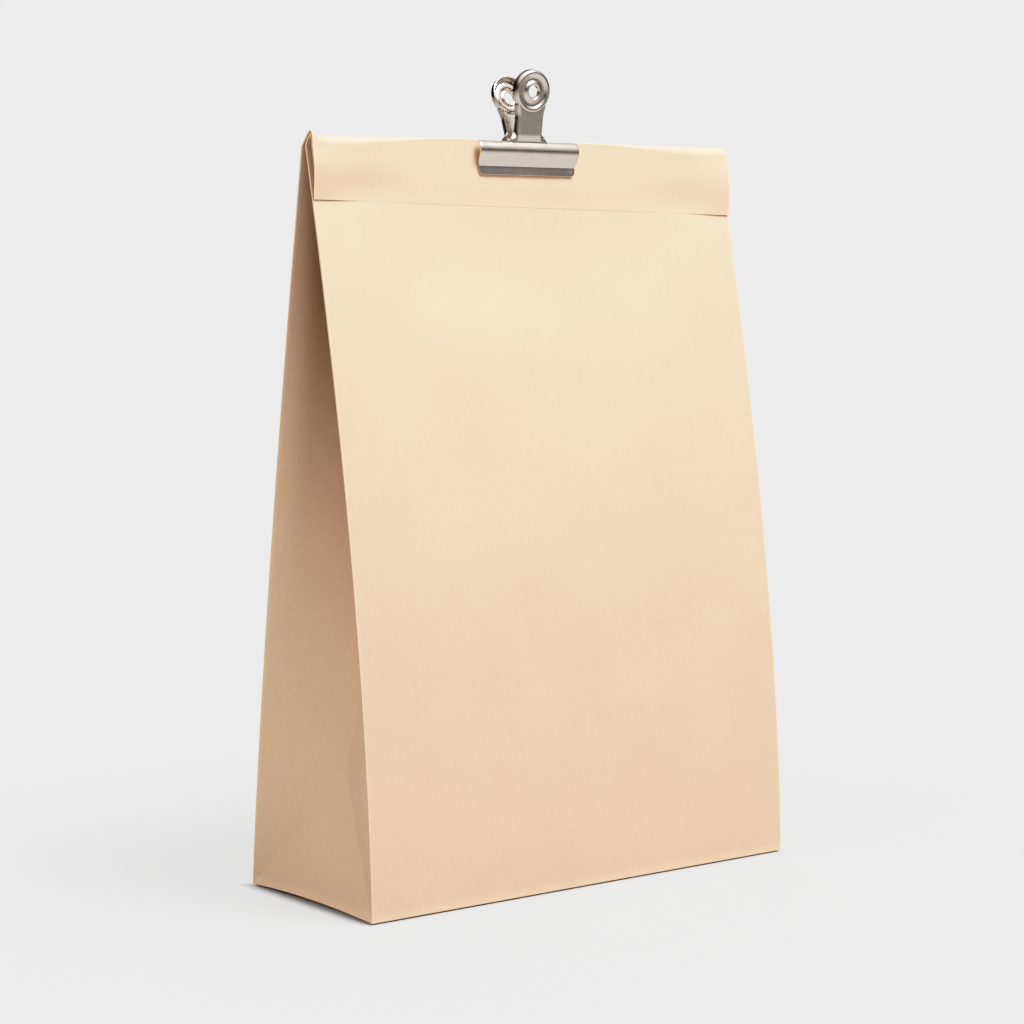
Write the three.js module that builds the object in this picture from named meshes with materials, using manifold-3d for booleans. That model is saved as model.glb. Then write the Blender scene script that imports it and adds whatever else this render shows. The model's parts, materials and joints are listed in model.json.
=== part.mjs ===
// Block-bottom paper bag, its top folded over once to the front and held by a sprung steel clip.
// Millimetres, +Z up. The origin is the middle of the base and the front panel faces -Y.
import * as THREE from 'three';
import { mergeVertices } from 'three/addons/utils/BufferGeometryUtils.js';
import Module from 'manifold-3d';

const wasm = await Module();
wasm.setup();

// Bag: outer sizes of the filled, standing bag.
const BAG_WIDTH = 260;
const BAG_DEPTH = 103.4;
const BLOCK_HEIGHT = 62; // horizontal crease where the square base block ends
const FOLD_HEIGHT = 365; // top of the folded edge
const FLAP_FOOT = 333; // lower edge of the folded-down flap
const FRONT_LEAN = 50.7; // how far the front panel leans back by FRONT_LEAN_HEIGHT
const FRONT_LEAN_HEIGHT = 360;
const FRONT_LEAN_POWER = 1.6;
const BACK_LEAN = 49;
const BACK_LEAN_HEIGHT = 366;
const BACK_LEAN_POWER = 1.23;

// Fold: a soft loop at the two ends, flattened where the clip holds it.
const FLAP_FOOT_Y = -7.8;
const FLAP_TOP_Y = -6.9;
const LOOP_DROP = 5; // from the top of the loop to its middle
const FLAP_WALL = 1.5; // four loose plies
const FLAP_VALLEY = 0.4; // gap between the flap's own gusset folds at its ends
const VALLEY_ROOT = 0.05;
const POCKET_END = 74; // where the loop's hollow ends, from the middle of the bag
const PLY = 0.15;
const BODY_TOP_DROP = 6.4; // the body's plies end this far under the fold, inside the loop

// Clip: the hinge line runs along X, through the middle of the barrel.
const CLIP_X = -1.8;
const CLIP_Y = -2;
const PIVOT_Z = 362;
const CLIP_TILT = THREE.MathUtils.degToRad(6); // the whole clip leans back
const STEEL = 0.9;
const BARREL_LENGTH = 61.6;
const BARREL_RADIUS = 5.05; // to the middle of the sheet
const LIP_LENGTH = 59.9;
const LIP_FOOT = -12.2;
const LIP_TOP = -7.9;
const LIP_CORNER = 2.5; // radius of the lip's lower corners
const LIP_SHOULDER = 2.5; // height over which the lip widens to the barrel's length
const STEP_EASE = 0.4; // the bend where the lip turns into the slanted step
const BARREL_ANGLES = [215, 200, 185, 170, 155, 140, 125]; // from the step up to the handle
const PAPER_GAP = 0.3;
const STACK_HALF = 0.6; // half of the paper between the jaws
const HANDLE_WIDTH = 15.6;
const HANDLE_ROOT = [-5.3, 7.5]; // y, z of the sheet's middle above the root bend
const HANDLE_FLARE = 0.235; // outward travel for each unit up
const HANDLE_WALL = 3.2; // depth of the turned-back edges
const WALL_TAPER = 2; // the turned-back edges grow out of the strip over this height
const ROOT_BEND = [ // y, z of the sheet's middle and how much wider the strip is on each side
  [-3.1, 3.9, 4],
  [-3.9, 4.9, 1.8],
  [-4.8, 6.1, 0.5],
];
const PAD_RADIUS = 10.75;
const PAD_HEIGHT = 28.1; // pad centre above the hinge line
const HANDLE_TOP = PAD_HEIGHT - 6.5; // where the strip ends, under the pad
const EYELET_RADIUS = 3.4;
const COLLAR_TOP = 0.9; // heights along the pad's axis, from the middle of the handle's sheet
const RIM_TOP = 0.7;
const DISH_FLOOR = -0.2;
const DISH_UNDERSIDE = -1.1;
const COLLAR_UNDERSIDE = -0.4;
const COLLAR_WIDTH = 1.1; // flat top of the raised collar round the eyelet
const COLLAR_FOOT = 1.9; // the collar meets the dish this far out from the eyelet
const RIM_WIDTH = 1; // flat top of the rim, inside the turned-back edge
const RIM_FOOT = 2.2; // the rim meets the dish this far in from the turned-back edge
const RIM_ROUND = 0.7;
const PIN_RADIUS = 1.5;
const PIN_CLEARANCE = 0.09;
const PIN_HEAD_RADIUS = 2.1;
const PIN_HEAD_HEIGHT = 0.8;
const EAR_RADIUS = 3.2;
const EAR_WEB = 2; // half height of the web that joins an ear to the barrel
const REAR_EAR_X = 7.8;
const EAR_STEP = 1.2; // the front jaw's ears stand outside the rear jaw's
const SPRING_RADIUS = 2.75; // to the middle of the wire
const SPRING_WIRE = 0.55;
const SPRING_TURNS = 7;
const SPRING_HALF_LENGTH = 5.9;
const SPRING_START = 150; // degrees round the hinge line, where the first leg meets the coil
const SPRING_LEG = [ // y, z of the leg that rests behind the front handle, from its tip
  [-5.6, 15],
  [-4.35, 9.4],
  [-2.4, 6.6],
  [-1.2, 4.6],
  [-1.35, 3.1],
];

// Reach of the clip's pull on the paper.
const PINCH_HALF = 36;
const PINCH_REACH = 116;
const PINCH_FOOT = 255;
const SQUEEZE_START = 330;
const NOTCH_HALF = 12.5; // the hinge pin and spring press the fold down over this half width
const NOTCH_REACH = 27;
const NOTCH_TOP = PIVOT_Z - 4.4;

const { degToRad, lerp, smoothstep } = THREE.MathUtils;

// --- Solids ---------------------------------------------------------------------------------

function weld(geometry) {
  const bare = geometry.clone();
  bare.deleteAttribute('normal');
  bare.deleteAttribute('uv');
  return mergeVertices(bare);
}

// Turned profiles and mirrored lofts may come out with their faces pointing in.
function toSolid(geometry) {
  const merged = weld(geometry);
  const vertProperties = new Float32Array(merged.getAttribute('position').array);
  const triVerts = new Uint32Array(merged.getIndex().array);
  const solid = new wasm.Manifold(new wasm.Mesh({ numProp: 3, vertProperties, triVerts }));
  if (solid.volume() > 0) {
    return solid;
  }
  triVerts.reverse();
  return new wasm.Manifold(new wasm.Mesh({ numProp: 3, vertProperties, triVerts }));
}

function toGeometry(solid) {
  const { vertProperties, triVerts } = solid.getMesh();
  const geometry = new THREE.BufferGeometry();
  geometry.setAttribute('position', new THREE.BufferAttribute(vertProperties, 3));
  geometry.setIndex(new THREE.BufferAttribute(triVerts, 1));
  geometry.computeVertexNormals();
  return geometry;
}

function union(solids) {
  return solids.reduce((whole, solid) => whole.add(solid));
}

// Faces across a ring whose first half runs out along one side and second half back on the other.
function bandCap(ring) {
  const last = ring.length - 1;
  const faces = [];
  for (let i = 0; i < ring.length / 2 - 1; i += 1) {
    faces.push([i, i + 1, last - i - 1], [i, last - i - 1, last - i]);
  }
  return faces;
}

// Joins rings of equal length, seen anticlockwise from the last ring, and closes both ends.
// The quads of a turned column are split along their other diagonal.
function loft(rings, cap = bandCap, turnedColumns = []) {
  const count = rings[0].length;
  const index = [];
  for (let row = 0; row < rings.length - 1; row += 1) {
    for (let i = 0; i < count; i += 1) {
      const a = row * count + i;
      const b = row * count + ((i + 1) % count);
      const c = b + count;
      const d = a + count;
      index.push(...(turnedColumns.includes(i) ? [a, b, d, b, c, d] : [a, b, c, a, c, d]));
    }
  }
  const lastRow = (rings.length - 1) * count;
  cap(rings[0]).forEach(([a, b, c]) => index.push(a, c, b));
  cap(rings.at(-1)).forEach(([a, b, c]) => index.push(lastRow + a, lastRow + b, lastRow + c));
  const positions = rings.flat().flatMap((point) => point.toArray());
  const geometry = new THREE.BufferGeometry();
  geometry.setAttribute('position', new THREE.Float32BufferAttribute(positions, 3));
  geometry.setIndex(index);
  return geometry;
}

// --- Bag ------------------------------------------------------------------------------------

function frontPanelY(z) {
  return -BAG_DEPTH / 2 + FRONT_LEAN * (z / FRONT_LEAN_HEIGHT) ** FRONT_LEAN_POWER;
}

function backPanelY(z) {
  return BAG_DEPTH / 2 - BACK_LEAN * (z / BACK_LEAN_HEIGHT) ** BACK_LEAN_POWER;
}

// Middle plane of the leaning clip.
function clampY(z) {
  return CLIP_Y + (z - PIVOT_Z) * Math.tan(CLIP_TILT);
}

// 1 where the jaws hold the paper flat, fading to 0 sideways and downwards.
function pinch(x, z) {
  const across = 1 - smoothstep(Math.abs(x - CLIP_X), PINCH_HALF, PINCH_REACH);
  const down = smoothstep(z, PINCH_FOOT, PIVOT_Z + LIP_FOOT - 2);
  return across * down;
}

function foldTop(x) {
  return lerp(NOTCH_TOP, FOLD_HEIGHT, smoothstep(Math.abs(x - CLIP_X), NOTCH_HALF, NOTCH_REACH));
}

function frontY(x, z) {
  return lerp(frontPanelY(z), clampY(z) - STACK_HALF + PLY, pinch(x, z));
}

function backY(x, z) {
  return lerp(backPanelY(z), clampY(z) + STACK_HALF, pinch(x, z));
}

// Front of the flap where it hangs free.
function flapHangY(z) {
  return lerp(FLAP_FOOT_Y, FLAP_TOP_Y, (z - FLAP_FOOT) / (FOLD_HEIGHT - FLAP_FOOT));
}

function flapFrontY(x, z) {
  return lerp(flapHangY(z), clampY(z) - STACK_HALF, pinch(x, z));
}

// How far the gusset's middle crease is pushed in: half the bag's depth is the length of paper
// on each side of it, and half the gap between front and back panels is its spread.
function gussetDepth(z) {
  const halfGap = (backPanelY(z) - frontPanelY(z)) / 2;
  return z === 0 ? 0 : Math.sqrt((BAG_DEPTH / 2) ** 2 - halfGap ** 2);
}

const HALF_STATIONS = [0, 9, 20, 34, 48, 63, 79, 96, 113, BAG_WIDTH / 2];
const STATIONS = [...HALF_STATIONS.slice(1).reverse().map((x) => -x), ...HALF_STATIONS];
const BODY_LEVELS = [0, BLOCK_HEIGHT, 100, 140, 180, 220, 252, 278, 298, 316, SQUEEZE_START,
  338, 345, 350, 355, FOLD_HEIGHT - BODY_TOP_DROP];

// The highest levels follow the fold down into the notch that the hinge pin presses.
function panelHeight(x, level) {
  if (level <= SQUEEZE_START) {
    return level;
  }
  const drop = lerp(BODY_TOP_DROP, STACK_HALF, pinch(x, level));
  const share = (level - SQUEEZE_START) / (BODY_LEVELS.at(-1) - SQUEEZE_START);
  return lerp(SQUEEZE_START, foldTop(x) - drop, share);
}

const LAST_STATION = STATIONS.length - 1;
const RIGHT_GUSSET = LAST_STATION + 1;
const LEFT_GUSSET = 2 * LAST_STATION + 3;

// Front panel from left to right, right gusset crease, back panel, left gusset crease.
function bodyRing(level) {
  const panelPoint = (x, panelY) => {
    const z = panelHeight(x, level);
    return new THREE.Vector3(x, panelY(x, z), z);
  };
  const gussetX = BAG_WIDTH / 2 - gussetDepth(level);
  const middleY = (x, z) => (frontY(x, z) + backY(x, z)) / 2;
  return [
    ...STATIONS.map((x) => panelPoint(x, frontY)),
    panelPoint(gussetX, middleY),
    ...STATIONS.toReversed().map((x) => panelPoint(x, backY)),
    panelPoint(-gussetX, middleY),
  ];
}

// Between the gusset creases the cap runs from panel to panel, beyond them from each panel
// to the crease.
function bodyCap(ring) {
  const gussetX = ring[RIGHT_GUSSET].x;
  const back = (i) => 2 * LAST_STATION + 2 - i;
  const inside = STATIONS.map((x) => Math.abs(x) < gussetX);
  const faces = [
    [inside.lastIndexOf(true), RIGHT_GUSSET, back(inside.lastIndexOf(true))],
    [inside.indexOf(true), back(inside.indexOf(true)), LEFT_GUSSET],
  ];
  for (let i = 0; i < LAST_STATION; i += 1) {
    if (inside[i] && inside[i + 1]) {
      faces.push([i, i + 1, back(i + 1)], [i, back(i + 1), back(i)]);
    } else {
      const crease = STATIONS[i] < 0 ? LEFT_GUSSET : RIGHT_GUSSET;
      faces.push([i, i + 1, crease], [crease, back(i + 1), back(i)]);
    }
  }
  return faces;
}

// Section of the fold: up the back of the bag, over the top and down the front as the flap.
// Its inner side lies within the body.
function foldRing(x) {
  const top = foldTop(x);
  const squeeze = pinch(x, FOLD_HEIGHT);
  const ply = lerp(PLY, 0, squeeze);
  const loopZ = top - lerp(LOOP_DROP, STACK_HALF, squeeze);
  const legZ = loopZ - LOOP_DROP;
  const front = flapFrontY(x, loopZ);
  const back = backY(x, loopZ) + ply;
  const spineY = (frontY(x, legZ) + backY(x, legZ)) / 2;
  const shares = [0, 0.25, 0.5, 0.75, 1];
  const arc = (middleY, middleZ, halfWidth, height) => (
    [22.5, 45, 67.5, 90, 112.5, 135, 157.5].map(degToRad).map((angle) => [
      middleY + halfWidth * Math.cos(angle),
      middleZ + height * Math.sin(angle),
    ]));
  const flapOuter = shares.map((share) => lerp(FLAP_FOOT, loopZ, share));
  const flapInner = shares.map((share) => lerp(FLAP_FOOT, legZ, share));
  const outline = [
    [backY(x, legZ) + ply, legZ],
    [back, loopZ],
    ...arc((front + back) / 2, loopZ, (back - front) / 2, top - loopZ),
    ...flapOuter.toReversed().map((z) => [flapFrontY(x, z), z]),
    ...flapInner.map((z) => [frontY(x, z) + PLY, z]),
    ...arc(spineY, legZ + PLY, PLY, PLY).toReversed(),
    [backY(x, legZ) - PLY, legZ + PLY],
    [backY(x, legZ) - PLY, legZ],
  ];
  return outline.map(([y, z]) => new THREE.Vector3(x, y, z));
}

// Hollow of the soft loop at one end, behind the flap, tapering away towards the clip.
function loopPocket(side) {
  const foot = FLAP_FOOT + LOOP_DROP;
  const shoulder = FOLD_HEIGHT - LOOP_DROP - FLAP_WALL;
  const top = FOLD_HEIGHT - FLAP_WALL;
  const mouth = [
    [frontPanelY(foot) - PLY, foot],
    [frontPanelY(shoulder) - PLY, shoulder],
    [frontPanelY(shoulder) - FLAP_WALL, top],
    [flapHangY(top) + 2 * FLAP_WALL, top],
    [flapHangY(shoulder) + FLAP_WALL, shoulder],
    [frontPanelY(foot) - 2 * PLY, foot],
  ];
  const middle = mouth.reduce(([y, z], [py, pz]) => [y + py / 6, z + pz / 6], [0, 0]);
  const section = (x, size) => mouth.map(([y, z]) => new THREE.Vector3(
    side * x,
    lerp(middle[0], y, size),
    lerp(middle[1], z, size),
  ));
  const rings = [section(POCKET_END, 0.05), section(BAG_WIDTH / 2 + 1, 1)];
  return toSolid(loft(side > 0 ? rings : rings.reverse()));
}

// Thin valley between the flap's own gusset folds, open at one end of the flap.
function flapValley(side) {
  const inner = side * (BAG_WIDTH / 2 - BAG_DEPTH / 2);
  const outer = side * (BAG_WIDTH / 2 + 1);
  const rings = [FLAP_FOOT - FLAP_VALLEY, FOLD_HEIGHT - 2 * LOOP_DROP].map((z) => {
    const middle = flapHangY(z) + FLAP_VALLEY;
    return [
      new THREE.Vector3(inner, middle - side * VALLEY_ROOT / 2, z),
      new THREE.Vector3(outer, middle - side * FLAP_VALLEY / 2, z),
      new THREE.Vector3(outer, middle + side * FLAP_VALLEY / 2, z),
      new THREE.Vector3(inner, middle + side * VALLEY_ROOT / 2, z),
    ];
  });
  return toSolid(loft(rings));
}

function paperBag() {
  const body = toSolid(loft(BODY_LEVELS.map(bodyRing), bodyCap, [RIGHT_GUSSET, LEFT_GUSSET]));
  const fold = toSolid(loft(STATIONS.map(foldRing)));
  const cuts = [-1, 1].flatMap((side) => [loopPocket(side), flapValley(side)]);
  return cuts.reduce((whole, cut) => whole.subtract(cut), body.add(fold));
}

// --- Clip -----------------------------------------------------------------------------------

// Turns a shape drawn in Y and Z into a solid along X, from -length/2 to +length/2.
function alongX(shape, length, middle = 0) {
  const geometry = new THREE.ExtrudeGeometry(shape, { depth: length, bevelEnabled: false });
  geometry.translate(0, 0, middle - length / 2);
  geometry.applyMatrix4(new THREE.Matrix4().makeBasis(
    new THREE.Vector3(0, 1, 0),
    new THREE.Vector3(0, 0, 1),
    new THREE.Vector3(1, 0, 0),
  ));
  return toSolid(geometry);
}

// A sheet-metal section: the middle line thickened by half the sheet on each side.
function sheetShape(middleLine) {
  const sides = [[], []];
  middleLine.forEach((point, i) => {
    const before = middleLine[Math.max(i - 1, 0)];
    const after = middleLine[Math.min(i + 1, middleLine.length - 1)];
    const along = after.clone().sub(before).normalize();
    const offset = new THREE.Vector2(-along.y, along.x).multiplyScalar(STEEL / 2);
    sides[0].push(point.clone().add(offset));
    sides[1].push(point.clone().sub(offset));
  });
  return new THREE.Shape([...sides[0], ...sides[1].reverse()]);
}

// Lip, slanted step and barrel of the front jaw, as one bent sheet.
function jawMiddleLine() {
  const lipY = -(STACK_HALF + PAPER_GAP + STEEL / 2);
  const barrelArc = BARREL_ANGLES.map((angle) => new THREE.Vector2(
    BARREL_RADIUS * Math.cos(degToRad(angle)),
    BARREL_RADIUS * Math.sin(degToRad(angle)),
  ));
  return [
    new THREE.Vector2(lipY, LIP_FOOT),
    new THREE.Vector2(lipY, LIP_TOP - STEP_EASE),
    new THREE.Vector2(lipY - STEP_EASE, LIP_TOP + STEP_EASE),
    ...barrelArc,
  ];
}

// Front outline of the jaw: the lip is a little shorter than the barrel and round at its corners.
function jawStencil() {
  const barrel = BARREL_LENGTH / 2;
  const lip = LIP_LENGTH / 2;
  const corner = LIP_CORNER;
  const foot = LIP_FOOT;
  const outline = new THREE.Shape();
  outline.moveTo(-barrel, BARREL_RADIUS * 2);
  outline.lineTo(-barrel, LIP_TOP + LIP_SHOULDER);
  outline.lineTo(-lip, LIP_TOP);
  outline.lineTo(-lip, foot + corner);
  outline.absarc(-lip + corner, foot + corner, corner, Math.PI, Math.PI * 1.5, false);
  outline.absarc(lip - corner, foot + corner, corner, Math.PI * 1.5, Math.PI * 2, false);
  outline.lineTo(lip, LIP_TOP);
  outline.lineTo(barrel, LIP_TOP + LIP_SHOULDER);
  outline.lineTo(barrel, BARREL_RADIUS * 2);
  const depth = 4 * BARREL_RADIUS;
  const geometry = new THREE.ExtrudeGeometry(outline, {
    depth, bevelEnabled: false, curveSegments: 4,
  });
  geometry.translate(0, 0, -depth / 2);
  geometry.rotateX(Math.PI / 2);
  return toSolid(geometry);
}

function handleY(z) {
  return HANDLE_ROOT[0] - (z - HANDLE_ROOT[1]) * HANDLE_FLARE;
}

// Handle strip: wide fillets where it springs from the barrel, then a straight flaring strip.
function handleStrip() {
  const half = HANDLE_WIDTH / 2;
  const stations = [
    ...ROOT_BEND.map(([y, z, extra]) => ({ y, z, half: half + extra })),
    { y: HANDLE_ROOT[0], z: HANDLE_ROOT[1], half },
    { y: handleY(HANDLE_TOP), z: HANDLE_TOP, half },
  ];
  const rings = stations.map((station, i) => {
    const before = stations[Math.max(i - 1, 0)];
    const after = stations[Math.min(i + 1, stations.length - 1)];
    const along = new THREE.Vector2(after.y - before.y, after.z - before.z).normalize();
    const y = along.y * STEEL / 2;
    const z = -along.x * STEEL / 2;
    return [
      new THREE.Vector3(-station.half, station.y - y, station.z - z),
      new THREE.Vector3(station.half, station.y - y, station.z - z),
      new THREE.Vector3(station.half, station.y + y, station.z + z),
      new THREE.Vector3(-station.half, station.y + y, station.z + z),
    ];
  });
  return toSolid(loft(rings));
}

// Turned-back edge along one side of the handle strip.
function handleEdge(side) {
  const foot = HANDLE_ROOT[1];
  const top = HANDLE_TOP;
  const outline = new THREE.Shape();
  outline.moveTo(handleY(foot), foot);
  outline.lineTo(handleY(top), top);
  outline.lineTo(handleY(top) + HANDLE_WALL, top);
  outline.lineTo(handleY(foot + WALL_TAPER) + HANDLE_WALL, foot + WALL_TAPER);
  outline.lineTo(handleY(foot) + WALL_TAPER / 2, foot - WALL_TAPER / 2);
  return alongX(outline, STEEL, side * (HANDLE_WIDTH - STEEL) / 2);
}

// Stands a solid of revolution on the handle: its axis leaves the middle of the pad outwards.
function onPad(profile) {
  const geometry = new THREE.LatheGeometry(profile.map(([r, h]) => new THREE.Vector2(r, h)), 32);
  const flare = Math.atan(HANDLE_FLARE);
  const outward = new THREE.Vector3(0, -Math.cos(flare), -Math.sin(flare));
  const acrossX = new THREE.Vector3(1, 0, 0);
  const placing = new THREE.Matrix4().makeBasis(acrossX, outward, acrossX.clone().cross(outward));
  placing.setPosition(0, handleY(PAD_HEIGHT), PAD_HEIGHT);
  geometry.applyMatrix4(placing);
  return toSolid(geometry);
}

// Pressed pad: eyelet, shallow dish, rolled rim and a turned-back edge.
function pressedPad() {
  const rim = PAD_RADIUS;
  const inside = PAD_RADIUS - STEEL;
  const eye = EYELET_RADIUS;
  return onPad([
    [eye, COLLAR_TOP],
    [eye + COLLAR_WIDTH, COLLAR_TOP],
    [eye + COLLAR_FOOT, DISH_FLOOR],
    [inside - RIM_FOOT, DISH_FLOOR],
    [inside - RIM_WIDTH, RIM_TOP],
    [rim - RIM_ROUND, RIM_TOP],
    [rim, RIM_TOP - RIM_ROUND],
    [rim, -HANDLE_WALL],
    [inside, -HANDLE_WALL],
    [inside, DISH_FLOOR],
    [inside - RIM_FOOT, DISH_UNDERSIDE],
    [eye + COLLAR_FOOT, DISH_UNDERSIDE],
    [eye + COLLAR_WIDTH, COLLAR_UNDERSIDE],
    [eye, COLLAR_UNDERSIDE],
    [eye, COLLAR_TOP],
  ]);
}

// Room for the pad, cut out of the handle strip.
function padBlank() {
  const reach = PAD_RADIUS - STEEL / 2;
  const half = 3 * HANDLE_WALL;
  return onPad([[0, -half], [reach, -half], [reach, half], [0, half]]);
}

// Ear that carries the hinge pin, joined to the barrel wall by a short web.
function ear(x) {
  const plate = new THREE.Shape();
  plate.moveTo(-BARREL_RADIUS, -EAR_WEB);
  plate.absarc(0, 0, EAR_RADIUS, degToRad(-120), degToRad(120), false);
  plate.lineTo(-BARREL_RADIUS, EAR_WEB);
  const hole = new THREE.Path();
  hole.absarc(0, 0, PIN_RADIUS + PIN_CLEARANCE, 0, Math.PI * 2, true);
  plate.holes.push(hole);
  return alongX(plate, STEEL, x);
}

// The two jaws are alike but for the ears: the front jaw's stand outside the rear jaw's.
function jaw(earX) {
  const bentSheet = alongX(sheetShape(jawMiddleLine()), BARREL_LENGTH).intersect(jawStencil());
  const strip = union([handleStrip(), handleEdge(-1), handleEdge(1)]).subtract(padBlank());
  return union([bentSheet, strip, pressedPad(), ear(-earX), ear(earX)]);
}

function pivotPin() {
  const half = REAR_EAR_X + EAR_STEP + STEEL / 2 + PAPER_GAP;
  const end = half + PIN_HEAD_HEIGHT;
  const profile = [
    [0, -end],
    [PIN_HEAD_RADIUS, -end],
    [PIN_HEAD_RADIUS, -half],
    [PIN_RADIUS, -half],
    [PIN_RADIUS, half],
    [PIN_HEAD_RADIUS, half],
    [PIN_HEAD_RADIUS, end],
    [0, end],
  ];
  const geometry = new THREE.LatheGeometry(profile.map(([r, h]) => new THREE.Vector2(r, h)), 24);
  geometry.rotateZ(-Math.PI / 2);
  return toSolid(geometry);
}

// Wire of the torsion spring: a leg up the front handle, the coil, and a leg up the rear one.
class SpringCurve extends THREE.Curve {
  constructor() {
    super();
    this.legStart = new THREE.CatmullRomCurve3([
      ...SPRING_LEG.map(([y, z]) => new THREE.Vector3(-SPRING_HALF_LENGTH, y, z)),
      this.coilPoint(0),
    ]);
    this.legEnd = new THREE.CatmullRomCurve3([
      this.coilPoint(1),
      ...SPRING_LEG.toReversed().map(([y, z]) => new THREE.Vector3(SPRING_HALF_LENGTH, -y, z)),
    ]);
  }

  coilPoint(t) {
    // The last leg starts as far past the top of the coil as the first one does before it.
    const sweep = (SPRING_TURNS - 1) * 360 + 2 * (SPRING_START - 90);
    const angle = degToRad(SPRING_START - t * sweep);
    return new THREE.Vector3(
      lerp(-SPRING_HALF_LENGTH, SPRING_HALF_LENGTH, t),
      SPRING_RADIUS * Math.cos(angle),
      SPRING_RADIUS * Math.sin(angle),
    );
  }

  getPoint(t) {
    const legShare = 0.1;
    if (t < legShare) {
      return this.legStart.getPoint(t / legShare);
    }
    if (t > 1 - legShare) {
      return this.legEnd.getPoint((t - 1 + legShare) / legShare);
    }
    return this.coilPoint((t - legShare) / (1 - 2 * legShare));
  }
}

function torsionSpring() {
  const section = new THREE.Shape();
  section.absarc(0, 0, SPRING_WIRE, 0, Math.PI * 2, false);
  const geometry = new THREE.ExtrudeGeometry(section, {
    steps: 110, curveSegments: 3, extrudePath: new SpringCurve(),
  });
  return toSolid(geometry);
}

// --- Assembly -------------------------------------------------------------------------------

const kraft = new THREE.MeshStandardMaterial({ color: 0xdcbb8e, roughness: 0.85 });
const nickel = { color: 0xbdb8ae, metalness: 1, roughness: 0.28 };
const springSteel = { color: 0x8d8a86, metalness: 1, roughness: 0.4 };

function addPiece(parent, name, solid, material) {
  const mesh = new THREE.Mesh(toGeometry(solid), material);
  mesh.name = name;
  parent.add(mesh);
  return mesh;
}

const bag = new THREE.Group();
addPiece(bag, 'paper_bag', paperBag(), kraft);

const clip = new THREE.Group();
clip.position.set(CLIP_X, CLIP_Y, PIVOT_Z);
clip.rotation.x = -CLIP_TILT;
bag.add(clip);

addPiece(clip, 'front_jaw', jaw(REAR_EAR_X + EAR_STEP), new THREE.MeshStandardMaterial(nickel));
const rear = addPiece(clip, 'rear_jaw', jaw(REAR_EAR_X), new THREE.MeshStandardMaterial(nickel));
rear.rotation.z = Math.PI;
addPiece(clip, 'pivot_pin', pivotPin(), new THREE.MeshStandardMaterial(nickel));
addPiece(clip, 'torsion_spring', torsionSpring(), new THREE.MeshStandardMaterial(springSteel));

export default bag;
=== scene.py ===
"""Block-bottom paper food bag, its top folded over once and held by a sprung steel clip."""
import json
import math

import bpy
from mathutils import Matrix, Vector, noise


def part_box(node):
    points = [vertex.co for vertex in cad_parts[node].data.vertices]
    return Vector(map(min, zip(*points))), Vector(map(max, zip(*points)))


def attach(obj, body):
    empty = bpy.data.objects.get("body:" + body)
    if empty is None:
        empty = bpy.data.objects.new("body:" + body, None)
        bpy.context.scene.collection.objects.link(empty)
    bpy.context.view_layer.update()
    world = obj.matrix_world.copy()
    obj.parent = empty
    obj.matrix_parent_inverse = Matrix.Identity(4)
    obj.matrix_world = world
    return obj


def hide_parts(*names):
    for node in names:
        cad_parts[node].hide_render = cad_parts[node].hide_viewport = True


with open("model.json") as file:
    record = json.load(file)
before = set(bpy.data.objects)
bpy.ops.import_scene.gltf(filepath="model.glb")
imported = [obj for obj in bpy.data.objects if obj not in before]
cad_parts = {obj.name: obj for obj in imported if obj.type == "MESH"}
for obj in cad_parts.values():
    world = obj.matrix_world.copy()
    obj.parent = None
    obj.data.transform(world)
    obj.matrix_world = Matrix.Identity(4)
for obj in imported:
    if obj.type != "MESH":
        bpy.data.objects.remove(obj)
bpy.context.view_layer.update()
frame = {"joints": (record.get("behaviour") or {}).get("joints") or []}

bl_info = {
    "name": "Folded Paper Food Bag",
    "version": (1, 0, 0),
    "blender": (4, 5, 0),
    "location": "3D View > Sidebar > Food Bag",
    "description": "Builds a folded kraft paper bag with its steel clip, and the studio around it",
    "category": "Add Mesh",
}

# Shapes are worked out in millimetres and stored in metres.
MM = 0.001
BAG_LOW, BAG_HIGH = (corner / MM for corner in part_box("paper_bag"))
HINGE = Vector(frame["joints"][0]["pos_m"]) / MM
TURN = math.tau
HALF_TURN = math.pi

# Bag panels, as the folded and filled bag stands.
WIDTH = BAG_HIGH.x - BAG_LOW.x
DEPTH = BAG_HIGH.y - BAG_LOW.y
FOLD_HEIGHT = BAG_HIGH.z
BLOCK_HEIGHT = 62.0
FRONT_LEAN, FRONT_LEAN_HEIGHT, FRONT_LEAN_POWER = 50.7, 360.0, 1.6
BACK_LEAN, BACK_LEAN_HEIGHT, BACK_LEAN_POWER = 49.0, 366.0, 1.23

# Fold and flap.
FLAP_FOOT = 333.0
FLAP_TOP_Y = -5.6
FOOT_CURL = 11.0
FOOT_RISE, FOOT_SKEW = 1.2, 2.0
FOOT_STANDOFF, END_STANDOFF = 0.06, 0.85
FLAP_END = 98
FLAP_CURVE = 2.5
FLAP_BOW = 0.8
FLAP_FOOT_GAP = 0.03
FLAP_TOP_GAP = 1.4
PLY_CLEARANCE = 0.03
FOLD_LOFT, LEFT_LOFT_LOSS = 2.4, 1.2
LOFT_START, LOFT_FULL = 22, 33
LEFT_START, LEFT_FULL = 45, 125
LOOP_HEIGHT = 5.0
LOOP_INNER_HEIGHT = 3.0
SQUEEZED_LOOP = 0.6
SQUEEZED_INNER_LOOP = 0.25
MOUTH_START, MOUTH_FLARE, MOUTH_POWER = 124, 2.3, 1.9
INNER_FLARE = 0.8
SQUEEZE_START = 316.0
CLAMPED_BACK = 0.6
CLAMPED_FRONT = 0.15
CLAMPED_FLAP_BACK = -0.22
CLAMPED_FLAP_FRONT = -0.6

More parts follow.
